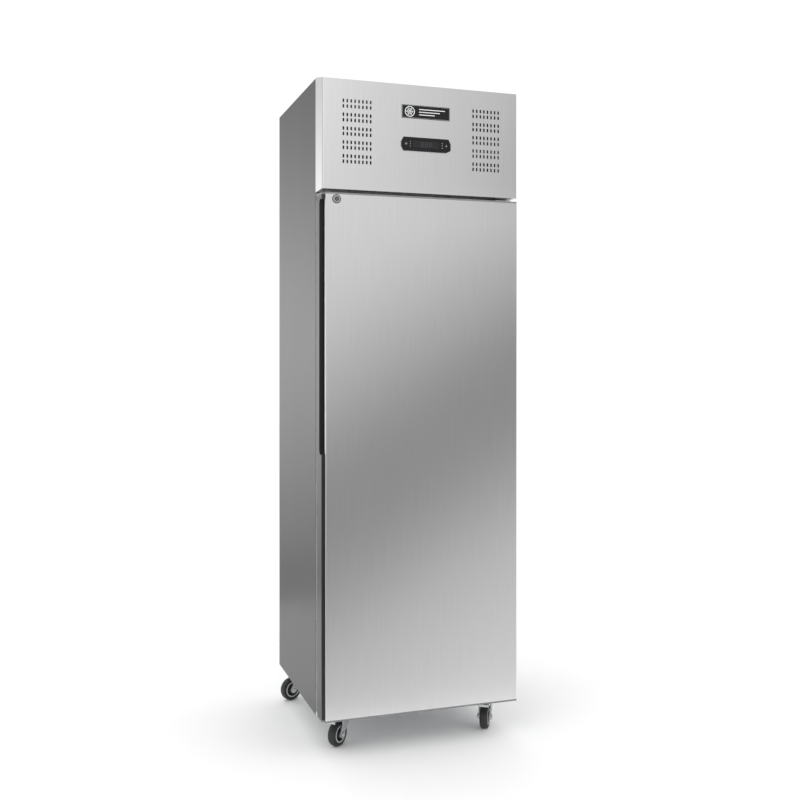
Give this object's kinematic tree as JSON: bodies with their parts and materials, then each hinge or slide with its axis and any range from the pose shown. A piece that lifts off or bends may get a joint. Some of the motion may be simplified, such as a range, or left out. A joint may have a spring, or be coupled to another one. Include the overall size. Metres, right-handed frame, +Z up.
{
  "type": "reach-in refrigerator",
  "caption": "Upright commercial reach-in refrigerator: solid hinged door, wire shelves, machine compartment on top, swivel casters.",
  "frame": {"origin": "on the floor, below the middle of the overall width and depth", "axes": "+X to the right along the front, +Y to the back, +Z up"},
  "size_m": [0.6291, 0.611, 2.008],
  "materials": {
    "stainless_cabinet": "brushed, satin",
    "stainless_bright": "brushed, satin",
    "galvanised_steel": "zinc coated, dull",
    "white_liner": "smooth, semi-gloss",
    "foam": "closed-cell insulation foam",
    "breaker_plastic": "moulded, matte",
    "black_plastic": "moulded, matte",
    "gloss_black": "glossy",
    "display_glass": "dark tinted, glossy",
    "button_plastic": "moulded, satin",
    "gasket": "soft vinyl, matte",
    "grey_bush": "moulded, matte",
    "chrome": "polished",
    "coated_wire": "epoxy-coated, semi-gloss",
    "coil_metal": "mill finish",
    "compressor_paint": "semi-gloss",
    "copper": "drawn copper tube",
    "rubber": "matte",
    "tyre": "matte",
    "wheel_grey": "moulded, satin",
    "zinc_steel": "zinc plated, bright",
    "lamp": "opal diffuser"
  },
  "bodies": {
    "cabinet": {"outer_wrap": "stainless_cabinet", "back_panel": "galvanised_steel", "base_panel": "galvanised_steel", "face_frame": "stainless_bright", "breaker_frame": "breaker_plastic", "inner_liner": "white_liner", "cabinet_foam": "foam", "machine_deck": "galvanised_steel", "fascia_panel": "stainless_bright", "controller_bezel": "gloss_black", "controller_display": "display_glass", "badge_plate": "gloss_black", "top_hinge_bracket": "stainless_bright", "bottom_hinge_bracket": "stainless_bright", "shelf_pilasters": "stainless_bright", "shelf_clips": "stainless_bright", "condenser_coil": "coil_metal", "evaporator_coil": "coil_metal", "fan_shroud": "galvanised_steel", "fan_motors": "compressor_paint", "compressor": "compressor_paint", "compressor_grommets": "rubber", "refrigerant_pipes": "copper", "rear_grille": "galvanised_steel", "power_gland": "black_plastic", "grille_screws": "zinc_steel", "evaporator_cover": "white_liner", "interior_lamp": "lamp", "caster_plates": "zinc_steel"},
    "door": {"door_skin": "stainless_bright", "door_stile": "stainless_cabinet", "grip_profile": "black_plastic", "door_liner": "white_liner", "door_foam": "foam", "door_end_caps": "black_plastic", "hinge_bushes": "grey_bush", "door_gasket": "gasket", "lock_body": "chrome"},
    "lock_plug": {"lock_plug": "chrome"},
    "power_button": {"power_button": "button_plastic"},
    "set_button": {"set_button": "button_plastic"},
    "condenser_fan": {"condenser_fan_blade": "black_plastic"},
    "evaporator_fan": {"evaporator_fan_blade": "black_plastic"},
    "shelf_1": {"shelf_1": "coated_wire"},
    "shelf_2": {"shelf_2": "coated_wire"},
    "shelf_3": {"shelf_3": "coated_wire"},
    "fork_front_left": {"fork_front_left": "zinc_steel"},
    "wheel_front_left": {"wheel_core_front_left": "wheel_grey", "tyre_front_left": "tyre"},
    "fork_front_right": {"fork_front_right": "zinc_steel"},
    "wheel_front_right": {"wheel_core_front_right": "wheel_grey", "tyre_front_right": "tyre"},
    "fork_rear_left": {"fork_rear_left": "zinc_steel"},
    "wheel_rear_left": {"wheel_core_rear_left": "wheel_grey", "tyre_rear_left": "tyre"},
    "fork_rear_right": {"fork_rear_right": "zinc_steel"},
    "wheel_rear_right": {"wheel_core_rear_right": "wheel_grey", "tyre_rear_right": "tyre"},
    "pedal_front_left": {"pedal_front_left": "zinc_steel"},
    "pedal_front_right": {"pedal_front_right": "zinc_steel"}
  },
  "joints": [
    {"name": "door_hinge", "type": "hinge", "parent": "cabinet", "child": "door", "pos_m": [0.296, -0.2575, 0.9], "axis": [0, 0, 1], "range_deg": [0, 110]},
    {"name": "lock_turn", "type": "hinge", "parent": "door", "child": "lock_plug", "pos_m": [-0.267, -0.3015, 1.637], "axis": [0, -1, 0], "range_deg": [0, 90]},
    {"name": "power_button_press", "type": "slide", "parent": "cabinet", "child": "power_button", "axis": [0, 1, 0], "range_m": [0, 0.0008], "stiffness_N_per_m": 200},
    {"name": "set_button_press", "type": "slide", "parent": "cabinet", "child": "set_button", "axis": [0, 1, 0], "range_m": [0, 0.0008], "stiffness_N_per_m": 200},
    {"name": "condenser_fan_spin", "type": "hinge", "parent": "cabinet", "child": "condenser_fan", "pos_m": [-0.16, -0.0685, 1.8015], "axis": [0, 1, 0], "continuous": true},
    {"name": "evaporator_fan_spin", "type": "hinge", "parent": "cabinet", "child": "evaporator_fan", "pos_m": [0.13, 0.1145, 1.5525], "axis": [0, 1, 0], "continuous": true},
    {"name": "shelf_1_lift", "type": "slide", "parent": "cabinet", "child": "shelf_1", "axis": [0, 0, 1], "range_m": [0, 0.025]},
    {"name": "shelf_2_lift", "type": "slide", "parent": "cabinet", "child": "shelf_2", "axis": [0, 0, 1], "range_m": [0, 0.025]},
    {"name": "shelf_3_lift", "type": "slide", "parent": "cabinet", "child": "shelf_3", "axis": [0, 0, 1], "range_m": [0, 0.025]},
    {"name": "swivel_front_left", "type": "hinge", "parent": "cabinet", "child": "fork_front_left", "pos_m": [-0.212, -0.1755, 0.096], "axis": [0, 0, 1], "continuous": true},
    {"name": "roll_front_left", "type": "hinge", "parent": "fork_front_left", "child": "wheel_front_left", "pos_m": [-0.23691, -0.19715, 0.0375], "axis": [0.6561, -0.7547, 0], "continuous": true},
    {"name": "swivel_front_right", "type": "hinge", "parent": "cabinet", "child": "fork_front_right", "pos_m": [0.262, -0.1755, 0.096], "axis": [0, 0, 1], "continuous": true},
    {"name": "roll_front_right", "type": "hinge", "parent": "fork_front_right", "child": "wheel_front_right", "pos_m": [0.24451, -0.20349, 0.0375], "axis": [0.848, -0.5299, 0], "continuous": true},
    {"name": "swivel_rear_left", "type": "hinge", "parent": "cabinet", "child": "fork_rear_left", "pos_m": [-0.25, 0.2615, 0.096], "axis": [0, 0, 1], "continuous": true},
    {"name": "roll_rear_left", "type": "hinge", "parent": "fork_rear_left", "child": "wheel_rear_left", "pos_m": [-0.28101, 0.25021, 0.0375], "axis": [0.342, -0.9397, 0], "continuous": true},
    {"name": "swivel_rear_right", "type": "hinge", "parent": "cabinet", "child": "fork_rear_right", "pos_m": [0.25, 0.2615, 0.096], "axis": [0, 0, 1], "continuous": true},
    {"name": "roll_rear_right", "type": "hinge", "parent": "fork_rear_right", "child": "wheel_rear_right", "pos_m": [0.22297, 0.24257, 0.0375], "axis": [0.5736, -0.8192, 0], "continuous": true},
    {"name": "brake_front_left", "type": "hinge", "parent": "fork_front_left", "child": "pedal_front_left", "pos_m": [-0.22445, -0.18632, 0.086], "axis": [0.6561, -0.7547, 0], "range_deg": [0, 12]},
    {"name": "brake_front_right", "type": "hinge", "parent": "fork_front_right", "child": "pedal_front_right", "pos_m": [0.25326, -0.18949, 0.086], "axis": [0.848, -0.5299, 0], "range_deg": [0, 12]}
  ]
}
